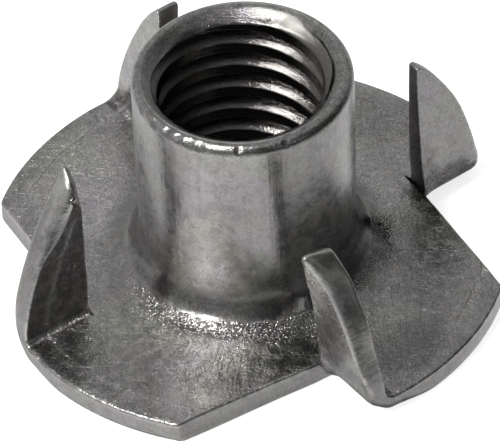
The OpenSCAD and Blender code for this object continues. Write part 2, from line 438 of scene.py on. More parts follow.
def coons(left, tip, right, which):
    Lc, Tc, Rc = left.inset(which), tip.inset(which), right.inset(which)
    nr, nc = len(Lc), len(Tc)
    eta = np.zeros(nr)
    eta[1:] = np.cumsum(np.linalg.norm(np.diff(Lc, axis=0), axis=1))
    eta /= eta[-1]
    # columns keep their distance from the curved edge, as long as the row is wide enough
    width = np.linalg.norm(Rc - Lc, axis=1)
    rest = np.linspace(0, 1, nc - len(COLS) + 1)[1:]
    X = np.zeros((nr, nc))
    for i in range(nr):
        W_ = width[i]
        sc = min(1.0, W_ / 2.2)
        d = np.concatenate([np.array(COLS) * sc, COLS[-1] * sc + (W_ - COLS[-1] * sc) * rest])
        X[i] = 1 - d[::-1] / W_
    X[:, 0], X[:, -1] = 0, 1
    # the last row is the tip's own arc, so its columns are even
    xi = np.linspace(0, 1, nc)
    blend = smooth(0.93, 1.0, eta)[:, None]
    X = lerp(X, xi[None], blend)
    E, X = eta[:, None, None], X[..., None]
    flat = (1 - X) * Lc[:, None] + X * Rc[:, None]
    bow = Tc - ((1 - xi)[:, None] * Lc[-1] + xi[:, None] * Rc[-1])
    w = smooth(0.86, 1.0, eta)[:, None, None]
    return flat + w * bow[None]


# ---------------------------------------------------------------- flange faces and prongs
def wall_profile(top, bot, flare):
    """(inset, depth) down the cut edge."""
    out = [(top, 0.0)]
    for a in (30, 60, 90):
        out.append((top * (1 - math.sin(rad(a))), top * (1 - math.cos(rad(a)))))
    for t in (0.25, 0.5, 0.75):
        out.append((0.0, lerp(top, T - bot, t)))
    for a in (0, 22.5, 45, 67.5):
        out.append((bot * (1 - math.cos(rad(a))), T - bot + bot * math.sin(rad(a))))
    out.append((bot, T))
    return [(i - flare * (d / T) ** 2, d) for i, d in out]


WALL_ROWS = 12
outline = {"top": [], "bot": []}     # the flange's own boundary, for its triangulation
run = 0.0
prongs = [prong_outline(k) for k in range(4)]


def wall_strip(edge, place, roll_of):
    """Builds the wall below an Edge. place(points, depth) gives 3-D points; roll_of(points, inset) the top face's roll there."""
    global run
    n = len(edge.P)
    rows = np.zeros((WALL_ROWS, n, 3))
    prof = np.array([wall_profile(*q) for q in zip(edge.top, edge.bot, edge.flare)])                     # n, rows, 2
    for r in range(WALL_ROWS):
        ins, dep = prof[:, r, 0], prof[:, r, 1]
        P = edge.P - ins[:, None] * edge.N
        dep = dep + roll_of(P, ins) * np.clip(1 - dep / (T * 0.6), 0, 1)
        rows[r] = place(P, dep)
    along = run + np.concatenate([[0], np.cumsum(np.linalg.norm(np.diff(edge.P, axis=0), axis=1))])
    run = along[-1]
    down = np.concatenate([[0], np.cumsum(np.hypot(*np.diff(prof[0], axis=0).T))])
    UV = np.stack([np.repeat(along[None], WALL_ROWS, 0), np.repeat(down[:, None], n, 1)], -1)
    # marks down the wall: worn upper edge, sheared face, worn lower edge; the worn edges are lightened also as painted
    # highlight
    M4 = np.zeros((WALL_ROWS, n, 4))
    M4[:, :, 0] = np.array([0, .3, .7, 1, 1, 1, 1, .9, .7, .5, .2, 0])[:, None]
    M4[:, :, 1] = np.array([0, .8, 1, .6, 0, 0, 0, .3, .6, .6, .3, 0])[:, None]
    soup.grid(rows, UV, WALL, mark=M4)


rim_roll = lambda P, ins: roll(np.maximum(R - np.hypot(P[:, 0], P[:, 1]), 0))
no_roll = lambda P, ins: np.zeros(len(P))
for k in range(4):
    left, tip, right, BL = prongs[k]
    CUT_EDGE, RIM_EDGE = flange_edges(k)
    fy = FOLD_Y[k]
    flat = lambda P, dep, k=k: turn(np.concatenate([P, (T - dep)[:, None]], -1), k)
    bent = lambda P, dep, k=k, BL=BL: fold(P[:, 0], P[:, 1], dep, k, BL)
    # the roll fades out where the prong gets narrow
    wide = lambda tau, a=left.P, b=right.P: np.interp(tau, b[:, 1], b[:, 0]) - np.interp(tau, a[:, 1], a[:, 0])
    reach = lambda tau, wide=wide: smooth(1.25, 1.9, wide(tau))
    prong_roll = lambda P, ins, reach=reach: roll(ins) * reach(P[:, 1])
    wall_strip(CUT_EDGE, flat, rim_roll)
    wall_strip(left, bent, no_roll)
    wall_strip(tip, bent, no_roll)
    back = Edge(right.P[::-1], right.N[::-1], right.top[::-1], right.bot[::-1])
    wall_strip(back, bent, prong_roll)
    wall_strip(RIM_EDGE, flat, rim_roll)

    for which in ("top", "bot"):
        G = coons(left, tip, right, which)
        if which == "top":
            # distance from the curved edge, for the roll that the blank's rim carries up the prong
            d = right.top[:, None] + np.linalg.norm(G[:, -1:] - G, axis=2) * right.N[:, 0][:, None]
            d[0] = R - np.hypot(G[0, :, 0], fy)
            P = fold(G[..., 0], G[..., 1], roll(np.maximum(d, 0)) * reach(G[:, -1:, 1]), k, BL)
        else:
            P = fold(G[..., 0], G[..., 1], T, k, BL)
        UV = np.stack([G[..., 0], G[..., 1] + 20 * (k + 1)], -1)
        M4 = np.zeros(P.shape[:2] + (4,))
        if which == "top":            # painted shade in the inside corner of the fold
            M4[..., 2] = (smooth(0, 0.25, G[..., 1]) * (1 - smooth(0.7 * BL, 1.3 * BL, G[..., 1])))
            # on prong 3 the painted shade covers its whole inner face above the fold's middle, for the dark reflections
            # there
            if k == 3:
                M4[..., 2] = 0.85 * smooth(0.55 * BL, 0.85 * BL, G[..., 1])
            M4[:, 0], M4[:, -1] = 0, 0
            wide_ = 0.17 if k == 3 else 0.11
            press = np.exp(-((d - ROLL_W) / wide_) ** 2) * reach(G[:, -1:, 1])
            foot_ = (0.30 * BL, 0.24) if k == 3 else (0.25 * BL, 0.10)
            press = np.maximum(press, 0.8 * np.exp(-((G[..., 1] - foot_[0]) / foot_[1]) ** 2) * (G[..., 0] > U_IN + 0.2) * (G[..., 0] < 10.3))
        soup.grid(P, UV, FLANGE if which == "top" else UNDER, flip=(which == "top"), mark=M4, line=press if which == "top" else 0.0)
        # the flange's boundary here: the cut, the fold line, the rim
        fl = G[0]
        F = np.stack([fl[:, 0], fy - fl[:, 1]], -1)
        loop = np.concatenate([CUT_EDGE.inset(which), F[1:], RIM_EDGE.inset(which)[1:-1]])
        outline[which].append(turn(np.concatenate([loop, np.zeros((len(loop), 1))], -1), k)[:, :2])


def inside(P, poly):
    x, y = P[:, 0], P[:, 1]
    res = np.zeros(len(P), bool)
    q = np.roll(poly, -1, 0)
    for (x0, y0), (x1, y1) in zip(poly, q):
        if y0 == y1:
            continue
        c = ((y0 > y) != (y1 > y)) & (x < (x1 - x0) * (y - y0) / (y1 - y0) + x0)
        res ^= c
    return res


def flange_face(which, r_in, gap, region):
    """Triangulates one face of the flange between a circle and the cut outline."""
    loop = np.concatenate(outline[which])
    circle = np.stack([r_in * np.cos(ANG), r_in * np.sin(ANG)], -1)
    nx = int(R / gap) + 2
    i, j = np.meshgrid(np.arange(-nx, nx + 1), np.arange(-nx * 2, nx * 2 + 1), indexing="ij")
    X = np.stack([(i + 0.5 * (j % 2)) * gap, j * gap * math.sqrt(3) / 2], -1).reshape(-1, 2)
    # a slight, fixed unevenness keeps long straight mesh lines from showing
    X = X + 0.10 * gap * np.stack([np.sin(X[:, 1] * 5.1 + X[:, 0] * 2.3), np.sin(X[:, 0] * 4.7 - X[:, 1] * 3.1)], -1)
    r = np.hypot(X[:, 0], X[:, 1])
    X = X[(r > r_in + 0.55 * gap) & (r < R)]
    X = X[inside(X, loop)]
    d = np.full(len(X), 9.0)
    for a in range(0, len(loop), 200):
        seg = loop[a:a + 200]
        d = np.minimum(d, np.linalg.norm(X[:, None] - seg[None], axis=2).min(1))
    X = X[d > 0.55 * gap]
    nl, nc = len(loop), len(circle)
    E = [(a, (a + 1) % nl) for a in range(nl)] + [(nl + a, nl + (a + 1) % nc) for a in range(nc)]
    if which == "top":
        # rows of points along the pressed line, so that it stays crisp
        X = X[np.abs(np.hypot(X[:, 0], X[:, 1]) - (R - ROLL_W)) > 0.17]
        extra = []
        for n_, dr in enumerate((-0.11, -0.05, 0.0, 0.05, 0.11)):
            q = np.arange(470) / 470 * TAU + (n_ % 2) * TAU / 940
            ring = (R - ROLL_W + dr) * np.stack([np.cos(q), np.sin(q)], -1)
            ring = ring[inside(ring, loop)]
            dd = np.full(len(ring), 9.0)
            for a in range(0, len(loop), 200):
                dd = np.minimum(dd, np.linalg.norm(ring[:, None] - loop[a:a + 200][None], axis=2).min(1))
            extra.append(ring[dd > 0.07])
        X = np.concatenate([X] + extra)
    V = np.concatenate([loop, circle, X])
    out = delaunay_2d_cdt([Vector(p) for p in V], E, [], 0, 1e-7)
    W = np.array([tuple(v) for v in out[0]])
    F = np.array([f for f in out[2]])
    c = W[F].mean(1)
    F = F[inside(c, loop) & ~inside(c, circle)]
    if which == "top":
        rr = np.hypot(W[:, 0], W[:, 1])
        z = T - roll(np.maximum(R - rr, 0))
        press = np.exp(-((rr - (R - ROLL_W)) / 0.11) ** 2)
        press = np.maximum(press, 0.8 * np.exp(-((W[:, 0] - FOLD_Y[3] - 0.12) / 0.24) ** 2) * (W[:, 1] < -7.6) * (W[:, 1] > -10.3))
    else:
        z, press = np.zeros(len(W)), 0.0
    P = np.concatenate([W, np.broadcast_to(z, len(W))[:, None]], -1)
    soup.add(P, F, W, region, flip=(which == "bot"), line=press)
    return len(F)


flange_face("top", R_RING, 0.135, FLANGE)
flange_face("bot", R_UNDER, 0.24, UNDER)


# ---------------------------------------------------------------- slight unevenness of the pressed top face
def relief(V):
    V = V.copy()
    r = np.hypot(V[:, 0], V[:, 1])
    on = np.flatnonzero((V[:, 2] > T - 0.35) & (V[:, 2] < T + 1.6) & (r > 5.0))
    for i in on:
        x, y, z = V[i]
        w = min(1.0, max(0.0, (z - (T - 0.35)) / 0.2)) * min(1.0, max(0.0, (r[i] - 5.0) / 1.2)) * min(1.0, max(0.0, (T + 1.6 - z) / 1.4))
        h = 0.030 * noise.noise((x * 0.42, y * 0.42, 3.1)) + 0.012 * noise.noise((x * 1.1, y * 1.1, 8.7))
        V[i, 2] += w * h
    return V


def lean(V):
    """The drawn barrel's outside leans a little to one side of the tapped hole."""
    V = V.copy()
    s = 0.055 * np.clip((V[:, 2] - 4.0) / 5.5, 0, 1) * smooth(4.22, 4.5, np.hypot(V[:, 0], V[:, 1]))
    V[:, 0] += 0.577 * s
    V[:, 1] += 0.817 * s
    return V


# ---------------------------------------------------------------- one closed mesh
def build():
    V = lean(relief(np.concatenate(soup.v)))
    bm = bmesh.new()
    ml = bm.verts.layers.float_color.new("marks")
    ll = bm.verts.layers.float.new("pressed")
    for v, m4, ln in zip(V, np.concatenate(soup.m), np.concatenate(soup.line)):
        nv = bm.verts.new(v)
        nv[ml], nv[ll] = m4, ln
    bm.verts.ensure_lookup_table()
    uvl = bm.loops.layers.uv.new("flow")
    rl = bm.faces.layers.int.new("region")
    for f, uv, reg in zip(soup.f, soup.uv, soup.reg):
        try:
            face = bm.faces.new([bm.verts[i] for i in f])
        except ValueError:
            continue
        face[rl] = reg
        for l, c in zip(face.loops, uv):
            l[uvl].uv = c
    bmesh.ops.remove_doubles(bm, verts=bm.verts, dist=0.0008)
    bmesh.ops.dissolve_degenerate(bm, edges=bm.edges, dist=0.0002)
    bmesh.ops.triangulate(bm, faces=bm.faces)
    # two triangles on the same three corners are a flap without volume
    bm.verts.index_update()
    twins = {}
    for f in bm.faces:
        twins.setdefault(tuple(sorted(v.index for v in f.verts)), []).append(f)
    flaps = [f for fs in twins.values() if len(fs) > 1 for f in fs]
    if flaps:
        bmesh.ops.delete(bm, geom=flaps, context="FACES")
    bmesh.ops.recalc_face_normals(bm, faces=bm.faces)
    loose = [v for v in bm.verts if not v.link_faces]
    bmesh.ops.delete(bm, geom=loose, context="VERTS")
    open_edges = [e for e in bm.edges if len(e.link_faces) != 2]
    print("tee_nut mesh:", len(bm.verts), "verts,", len(bm.faces), "tris,", len(open_edges), "edges not shared by two")
    for e in open_edges[:8]:
        print("   open at", tuple(round(c, 3) for c in (e.verts[0].co + e.verts[1].co) / 2), len(e.link_faces))
    for v in bm.verts:
        v.co *= MM
    me = bpy.data.meshes.new("tee_nut_looks")
    bm.to_mesh(me)
    bm.free()
    return me


me = build()
nut = bpy.data.objects.new("tee_nut_body", me)
bpy.context.scene.collection.objects.link(nut)
for p in me.polygons:
    p.use_smooth = True
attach(nut, "root")
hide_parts("tee_nut")

# ---------------------------------------------------------------- node helpers
class Nodes:
    """Short names for building a node tree."""

    def __init__(self, tree):
        self.t = tree

    def new(self, kind, **props):
        n = self.t.nodes.new(kind)
        for k, v in props.items():
            setattr(n, k, v)
        return n

    def put(self, socket, v):
        if isinstance(v, bpy.types.NodeSocket):
            self.t.links.new(v, socket)
        elif v is not None:
            socket.default_value = v

    def math(self, op, a, b=None, c=None, clamp=False):
        n = self.new("ShaderNodeMath", operation=op, use_clamp=clamp)
        for s, v in zip(n.inputs, (a, b, c)):
            self.put(s, v)
        return n.outputs[0]

    def add(self, *a):
        out = a[0]
        for v in a[1:]:
            out = self.math("ADD", out, v)
        return out

    def mul(self, *a):
        out = a[0]
        for v in a[1:]:
            out = self.math("MULTIPLY", out, v)
        return out

    def inv(self, a):
        return self.math("SUBTRACT", 1.0, a)

    def vec(self, op, a, b=None, scale=None):
        n = self.new("ShaderNodeVectorMath", operation=op)
        self.put(n.inputs[0], a)
        self.put(n.inputs[1], b)
        if scale is not None:
            self.put(n.inputs["Scale"], scale)
        return n.outputs["Value" if op in ("DOT_PRODUCT", "LENGTH", "DISTANCE") else "Vector"]

    def xyz(self, x, y, z):
        n = self.new("ShaderNodeCombineXYZ")
        for s, v in zip(n.inputs, (x, y, z)):
            self.put(s, v)
        return n.outputs[0]

    def split(self, v):
        n = self.new("ShaderNodeSeparateXYZ")
        self.put(n.inputs[0], v)
        return n.outputs

    def remap(self, v, a, b, c=0.0, d=1.0, kind="SMOOTHSTEP"):
        n = self.new("ShaderNodeMapRange", interpolation_type=kind)
        for s, x in zip(n.inputs, (v, a, b, c, d)):
            self.put(s, x)
        return n.outputs[0]

    def band(self, v, a0, a1, b1, b0):
        """1 between a1 and b1, falling smoothly to 0 at a0 and b0."""
        return self.mul(self.remap(v, a0, a1), self.remap(v, b1, b0, 1.0, 0.0))

    def noise(self, v, scale, detail=2.0, rough=0.5, distortion=0.0):
        n = self.new("ShaderNodeTexNoise")
        self.put(n.inputs["Vector"], v)
        for k, x in (("Scale", scale), ("Detail", detail), ("Roughness", rough), ("Distortion", distortion)):
            n.inputs[k].default_value = x
        return n.outputs[0]

    def cells(self, v, scale, feature="F1", rand=1.0):
        n = self.new("ShaderNodeTexVoronoi", feature=feature)
        self.put(n.inputs["Vector"], v)
        n.inputs["Scale"].default_value = scale
        n.inputs["Randomness"].default_value = rand
        return n.outputs["Distance"], n.outputs["Color"]

    def stretch(self, v, angle, sx, sy, sz=1.0):
        """Turns v about Z and scales it, so that noise on it runs in streaks."""
        n = self.new("ShaderNodeMapping", vector_type="POINT")
        self.put(n.inputs["Vector"], v)
        n.inputs["Rotation"].default_value = (0, 0, rad(angle))
        out = n.outputs[0]
        return self.vec("MULTIPLY", out, (sx, sy, sz))

    def mix(self, f, a, b):
        n = self.new("ShaderNodeMix", data_type="RGBA")
        self.put(n.inputs["Factor"], f)
        self.put(n.inputs[6], a)
        self.put(n.inputs[7], b)
        return n.outputs[2]

    def tint(self, col, f):
        """Scales a colour by a number."""
        return self.vec("SCALE", col, scale=f)


# ---------------------------------------------------------------- steel
def steel():
    mat = bpy.data.materials.new("steel")
    mat.use_nodes = True
    g = Nodes(mat.node_tree)
    bs = mat.node_tree.nodes["Principled BSDF"]
    pos = g.vec("SCALE", g.new("ShaderNodeTexCoord").outputs["Object"], scale=1000.0)      # mm
    x, y, z = g.split(pos)[:3]
    r = g.vec("LENGTH", g.xyz(x, y, 0.0))
    ray_ = g.vec("NORMALIZE", g.xyz(x, y, 0.0))                                            # outward from the axis
    marks = g.new("ShaderNodeAttribute", attribute_type="GEOMETRY", attribute_name="marks")
    sep = g.new("ShaderNodeSeparateColor")
    g.put(sep.inputs[0], marks.outputs["Color"])
    shear, edge, shade_mark, bore = sep.outputs[0], sep.outputs[1], sep.outputs[2], marks.outputs["Alpha"]
    flow = g.new("ShaderNodeUVMap", uv_map="flow").outputs[0]

    # where: barrel outside, fillet ring, flange and prongs
    barrel = g.mul(g.band(r, 4.42, 4.54, 4.76, 5.2), g.remap(z, 2.3, 3.2))
    rim = g.mul(g.remap(z, 10.40, 10.55), g.remap(r, 3.46, 3.6))
    ring = g.mul(g.band(g.add(r, g.mul(g.math("SUBTRACT", g.noise(pos, 1.3, 1.0), 0.5), 0.35)), 5.20, 5.30, 6.1, 6.8), g.remap(z, 2.2, 2.9, 1.0, 0.0))
    line = g.new("ShaderNodeAttribute", attribute_type="GEOMETRY", attribute_name="pressed").outputs["Fac"]
    out = g.remap(r, 5.6, 6.8)
    high = g.remap(z, 1.3, 1.8)
    flat = g.mul(out, g.inv(high), g.inv(shear))
    blade = g.mul(out, high, g.inv(shear))

    # shared noises
    n_big = g.noise(pos, 0.45, 2.0)
    n_mid = g.noise(pos, 1.9, 4.0, 0.62)
    n_fine = g.noise(pos, 8.5, 3.0, 0.6)
    n_grit = g.noise(pos, 12.5, 1.0, 0.7)
    n_sand = g.noise(pos, 24.0, 1.0, 0.6)
    cup = g.remap(g.cells(g.vec("ADD", pos, g.vec("SCALE", g.xyz(n_fine, n_mid, n_grit), scale=0.08)), 9.0)[0], 0.0, 0.60, 0.0, 1.0)       # small round dents, side by side

    # pits: scattered small holes of uneven shape
    n_pit = g.noise(g.vec("ADD", pos, (7.3, 1.9, 4.4)), 4.6, 3.0, 0.72)
    pit = g.remap(g.add(n_pit, g.mul(g.math("SUBTRACT", n_big, 0.5), 0.25)), 0.655, 0.72)

    # scratches: thin ridges of streaky noise, in a few directions
    def scratch(angle, long_, across, width, seed, amount):
        v = g.vec("ADD", g.stretch(pos, angle, long_, across, 0.6), (seed, seed * 0.7, seed * 1.3))
        n = g.noise(v, 1.0, 1.0, 0.4)
        line = g.remap(g.math("ABSOLUTE", g.math("SUBTRACT", n, 0.5)), 0.0, width, 1.0, 0.0)
        where = g.remap(g.noise(v, 0.31, 1.0), 0.56 - amount, 0.62 - amount)
        return g.mul(line, where)

    s1 = scratch(31, 0.28, 4.2, 0.016, 3.0, 0.04)
    s2 = scratch(-48, 0.35, 3.6, 0.014, 11.0, 0.03)
    s3 = scratch(83, 0.40, 5.0, 0.018, 23.0, 0.02)
    scratches = g.math("MINIMUM", g.add(s1, s2, s3), 1.0)

    # soft patches, for painted shade, painted highlight and polish: centre, half sizes in mm, and how strong
    def soft_patch(c, size, amount, soft=0.35):
        v = g.vec("MULTIPLY", g.vec("SUBTRACT", pos, c), tuple(1 / q for q in size))
        return g.mul(amount, g.remap(g.add(g.vec("LENGTH", v), g.mul(g.math("SUBTRACT", n_mid, 0.5), 0.6)), soft, 1.0, 1.0, 0.0))

    # painted shade: dark patches where the part lies in shadow or reflects dark surroundings, on the petals, the
    # prongs' feet and faces, and the barrel
    painted_shade = g.add(soft_patch((0.4, -10.55, 1.0), (2.2, 0.55, 0.6), 0.75), soft_patch((6.1, -2.2, 1.1), (2.3, 1.8, 0.6), 0.70),
                 soft_patch((5.2, 3.3, 1.1), (2.2, 2.2, 0.8), 0.30), soft_patch((-3.0, 9.2, 1.1), (3.2, 2.4, 0.5), 0.40),
                 soft_patch((8.6, -2.2, 3.4), (1.3, 0.5, 2.6), 0.45), soft_patch((2.1, 8.7, 0.15), (1.4, 2.7, 1.55), 1.1, 0.72), soft_patch((2.1, 7.8, 1.6), (0.9, 0.9, 3.2), 0.55, 0.2),
                 soft_patch((2.12, 8.8, 1.25), (0.9, 2.0, 1.0), 0.9, 0.2), soft_patch((3.6, -2.9, 7.6), (1.6, 1.6, 3.0), 0.22, 0.1),
                 soft_patch((-0.65, -4.6, 6.9), (1.4, 1.0, 3.8), 0.40, 0.1), soft_patch((9.2, 1.3, 1.1), (2.0, 2.5, 0.6), 0.58), soft_patch((3.9, 5.2, 1.1), (2.2, 2.2, 0.7), 0.30),
                 g.mul(shear, soft_patch((1.85, 7.56, 4.6), (1.0, 0.6, 4.2), 0.75)))
    # painted shade round the fillet's foot and along its upper part
    painted_shade = g.add(painted_shade, g.mul(g.band(r, 5.12, 5.30, 5.75, 6.2), g.remap(z, 1.6, 2.0, 1.0, 0.0), g.inv(shear), g.add(0.15, soft_patch((3.7, -4.2, 1.1), (3.4, 2.9, 1.6), 0.75, 0.5))))
    painted_shade = g.add(painted_shade, g.mul(g.band(r, 4.655, 4.74, 5.02, 5.20), g.remap(z, 2.5, 3.2, 1.0, 0.0), g.remap(z, 1.2, 1.5), 0.58))
    painted_shade = g.math("MINIMUM", painted_shade, 0.95)
    # polished patches: smoother, and painted lighter as a painted highlight, on the petals and on prongs 0 and 3
    polish_and_highlight = g.mul(flat, g.add(soft_patch((4.5, -5.2, 1.1), (1.5, 1.8, 0.6), 1.0), soft_patch((3.0, -6.5, 1.1), (1.9, 1.6, 0.6), 0.7),
                               soft_patch((-5.3, -3.8, 1.1), (2.2, 2.2, 0.6), 0.8), soft_patch((5.6, -7.5, 1.1), (1.7, 1.6, 0.6), 0.9),
                               soft_patch((-7.7, -2.3, 1.1), (3.2, 2.6, 0.6), 0.6)))
    polish_and_highlight = g.math("MINIMUM", g.add(polish_and_highlight, soft_patch((-1.5, -8.15, 7.9), (1.1, 1.0, 1.6), 1.0), soft_patch((7.85, -2.2, 7.7), (0.7, 0.9, 0.9), 1.0),
                                           soft_patch((10.3, -1.6, 4.6), (0.9, 0.9, 2.2), 0.8), g.mul(flat, soft_patch((-7.6, -4.6, 1.1), (1.8, 2.0, 0.6), 0.6))), 1.0)

    # streaks that the tools left: radial on the fillet and petals, upright on the barrel, round the bore, across the shears
    radial = g.noise(g.vec("ADD", g.vec("SCALE", ray_, scale=34.0), g.xyz(0.0, 0.0, g.mul(r, 0.55))), 1.0, 3.0, 0.6)
    drawn = g.noise(g.xyz(g.mul(x, 5.0), g.mul(y, 5.0), g.mul(z, 0.22)), 1.0, 4.0, 0.62)
    drawn_fine = g.noise(g.xyz(g.mul(x, 11.0), g.mul(y, 11.0), g.mul(z, 0.6)), 1.0, 2.0, 0.6)
    turned = g.noise(g.xyz(g.mul(x, 0.5), g.mul(y, 0.5), g.mul(g.add(z, g.mul(r, 0.8)), 15.0)), 1.0, 3.0, 0.65)
    fx, fy = g.split(flow)[:2]
    sheared = g.noise(g.xyz(g.mul(fx, 6.0), g.mul(fy, 0.9), 0.0), 1.0, 3.0, 0.65)
    torn = g.noise(g.xyz(g.mul(fx, 2.6), g.mul(fy, 7.0), 4.0), 1.0, 3.0, 0.7)
    fracture = g.mul(shear, g.remap(g.add(fy, g.mul(g.math("SUBTRACT", n_mid, 0.5), 0.9)), 0.62, 0.78))

    # ---- height, in mm
    h = g.mul(g.math("SUBTRACT", n_mid, 0.5), 0.012)
    h = g.add(h, g.mul(g.math("SUBTRACT", n_fine, 0.5), g.add(0.0016, g.mul(0.0080, flat), g.mul(0.0034, blade), g.mul(0.0030, shear), g.mul(0.0030, bore))))
    grit = g.add(g.mul(ring, 0.010), g.mul(line, 0.016), g.mul(bore, 0.014), g.mul(edge, 0.006, g.remap(z, 10.2, 10.4, 1.0, 0.0)), g.mul(rim, 0.004), g.mul(flat, 0.010), g.mul(blade, 0.006))
    h = g.add(h, g.mul(g.math("SUBTRACT", n_grit, 0.5), grit), g.mul(line, -0.012))
    h = g.add(h, g.mul(cup, g.add(g.mul(ring, 0.015), g.mul(line, 0.014), g.mul(flat, g.remap(n_mid, 0.50, 0.62, 0.0, 0.011)))))
    h = g.add(h, g.mul(g.math("SUBTRACT", n_sand, 0.5), g.add(g.mul(rim, 0.009), g.mul(bore, 0.005), g.mul(flat, 0.004))))
    h = g.add(h, g.mul(pit, g.add(g.mul(flat, -0.009), g.mul(blade, -0.006), g.mul(barrel, -0.002), g.mul(ring, -0.006))))
    h = g.add(h, g.mul(scratches, g.add(g.mul(flat, -0.006), g.mul(blade, -0.005), g.mul(barrel, -0.0015))))
    radial_w = g.mul(g.band(r, 5.2, 6.3, 8.2, 10.2), g.inv(shear), g.inv(high))
    # a scuffed patch on the front petal, and a weaker one on each of the others
    spot = lambda az, rr_, size: g.remap(g.vec("DISTANCE", pos, (rr_ * math.cos(rad(az)), rr_ * math.sin(rad(az)), T)), size * 0.35, size, 1.0, 0.0)
    scuff = g.add(spot(-50, 7.7, 2.3), g.mul(0.35, spot(-64, 9.0, 1.6)), g.mul(0.4, spot(205, 7.4, 2.0)), g.mul(0.3, spot(30, 8.2, 2.0)), g.mul(0.3, spot(118, 8.0, 2.0)))
    h = g.add(h, g.mul(g.math("SUBTRACT", radial, 0.5), g.mul(radial_w, g.add(0.008, g.mul(scuff, 0.052, g.remap(n_mid, 0.32, 0.6, 0.35, 1.25))))))
    h = g.add(h, g.mul(g.math("SUBTRACT", drawn, 0.5), g.mul(barrel, 0.010)))
    h = g.add(h, g.mul(g.math("SUBTRACT", drawn_fine, 0.5), g.mul(barrel, 0.0022)))
    h = g.add(h, g.mul(g.math("SUBTRACT", turned, 0.5), g.math("MAXIMUM", g.mul(bore, 0.011), g.mul(rim, 0.0035))))
    h = g.add(h, g.mul(g.math("SUBTRACT", sheared, 0.5), g.mul(shear, 0.012)))
    h = g.add(h, g.mul(g.math("SUBTRACT", torn, 0.5), g.mul(fracture, 0.016)))
    # knocks along the cut edges, and a few deeper nicks on the lip
    nick = g.add(*[g.remap(g.vec("DISTANCE", pos, (4.50 * math.cos(rad(q)), 4.50 * math.sin(rad(q)), 10.74)), 0.02, s_, 1.0, 0.0)
                   for q, s_ in ((-101, 0.30), (-88.5, 0.36), (-79, 0.34), (-72, 0.26), (-64.5, 0.36), (-59, 0.34), (-38.5, 0.24), (-13, 0.26))])
    h = g.add(h, g.mul(g.math("SUBTRACT", g.noise(pos, 4.5, 3.0, 0.6), 0.5), g.mul(edge, 0.026, g.remap(z, 10.2, 10.4, 1.0, 0.15))), g.mul(nick, -0.055))
    bump = g.new("ShaderNodeBump")
    bump.inputs["Strength"].default_value = 1.0
    bump.inputs["Distance"].default_value = 0.001
    g.put(bump.inputs["Height"], h)
    g.put(bs.inputs["Normal"], bump.outputs[0])

    # ---- colour
    cool, warm = (0.40, 0.385, 0.40, 1), (0.41, 0.405, 0.375, 1)
    col = g.mix(g.remap(n_big, 0.38, 0.62), cool, warm)
    tone = g.remap(n_mid, 0.25, 0.75, 0.76, 1.30, "LINEAR")
    tone = g.mul(tone, g.remap(n_fine, 0.3, 0.7, 0.84, 1.12, "LINEAR"))
    tone = g.mul(tone, g.add(1.0, g.mul(g.math("SUBTRACT", n_grit, 0.5), g.add(g.mul(flat, 1.1), g.mul(ring, 0.9), g.mul(rim, 0.9), g.mul(blade, 0.5)))))
    tone = g.mul(tone, g.remap(g.mul(pit, g.inv(bore), g.inv(barrel)), 0.0, 1.0, 1.0, 0.62, "LINEAR"))
    # the pressed lines are lighter, a painted highlight for the light they catch
    tone = g.mul(tone, g.add(1.0, g.mul(line, 0.35, g.remap(n_grit, 0.3, 0.6))))
    tone = g.mul(tone, g.remap(g.mul(drawn, barrel), 0.35, 0.75, 1.0, 0.86, "LINEAR"))
    # painted highlight: the polished patches are lighter
    # the countersink is painted darker, as painted shade that dims its highlight
    tone = g.mul(tone, g.add(1.0, g.mul(polish_and_highlight, 0.42), g.mul(rim, -0.19)))
    col = g.tint(col, tone)
    # lighter worn edges, which also stand for the glints along them, and painted highlights at the tips of prongs 3 and
    # 0
    wear_and_highlight = g.mul(edge, g.remap(g.noise(pos, 3.0, 3.0, 0.65), 0.38, 0.58))
    wear_and_highlight = g.math("MAXIMUM", wear_and_highlight, g.add(soft_patch((-1.5, -7.95, 7.9), (0.9, 0.7, 0.9), 1.0), soft_patch((-1.15, -8.35, 7.3), (0.34, 0.8, 1.1), 0.8), soft_patch((7.85, -2.3, 7.85), (0.6, 0.55, 0.6), 1.0)))
    col = g.mix(g.mul(wear_and_highlight, 0.75), col, (0.66, 0.65, 0.63, 1))
    # painted shade, near black: in the thread's roots, the folds' inside corners and on prong 3's inner face, kept off
    # the pressed lines
    painted_dark = g.mul(shade_mark, g.remap(g.noise(pos, 2.4, 3.0, 0.65), 0.30, 0.62), g.inv(g.mul(line, 0.7)))
    # a thin line of painted shade wanders along the rim, in the crease where the roll begins
    wander = g.math("ABSOLUTE", g.math("SUBTRACT", g.add(r, g.mul(g.math("SUBTRACT", g.noise(pos, 0.9, 3.0, 0.6), 0.5), 0.55)), 9.93))
    crease_shade = g.mul(g.remap(wander, 0.015, 0.07, 1.0, 0.0), flat, g.remap(n_big, 0.42, 0.56, 0.10, 0.6))
    painted_dark = g.math("MAXIMUM", painted_dark, crease_shade)
    col = g.mix(g.mul(painted_dark, 0.75), col, (0.055, 0.050, 0.045, 1))
    # the tapped hole is painted darker: oil, and painted shade for the dark inside of the hole
    oil_and_shade = g.mul(bore, bore, g.remap(n_mid, 0.3, 0.7, 0.60, 0.85, "LINEAR"), g.inv(g.mul(edge, 0.6)))
    col = g.mix(oil_and_shade, col, (0.14, 0.13, 0.125, 1))
    # the painted shade darkens the colour here
    col = g.mix(g.mul(painted_shade, g.remap(n_fine, 0.35, 0.6, 0.95, 0.6)), col, (0.078, 0.074, 0.074, 1))
    g.put(bs.inputs["Base Color"], col)

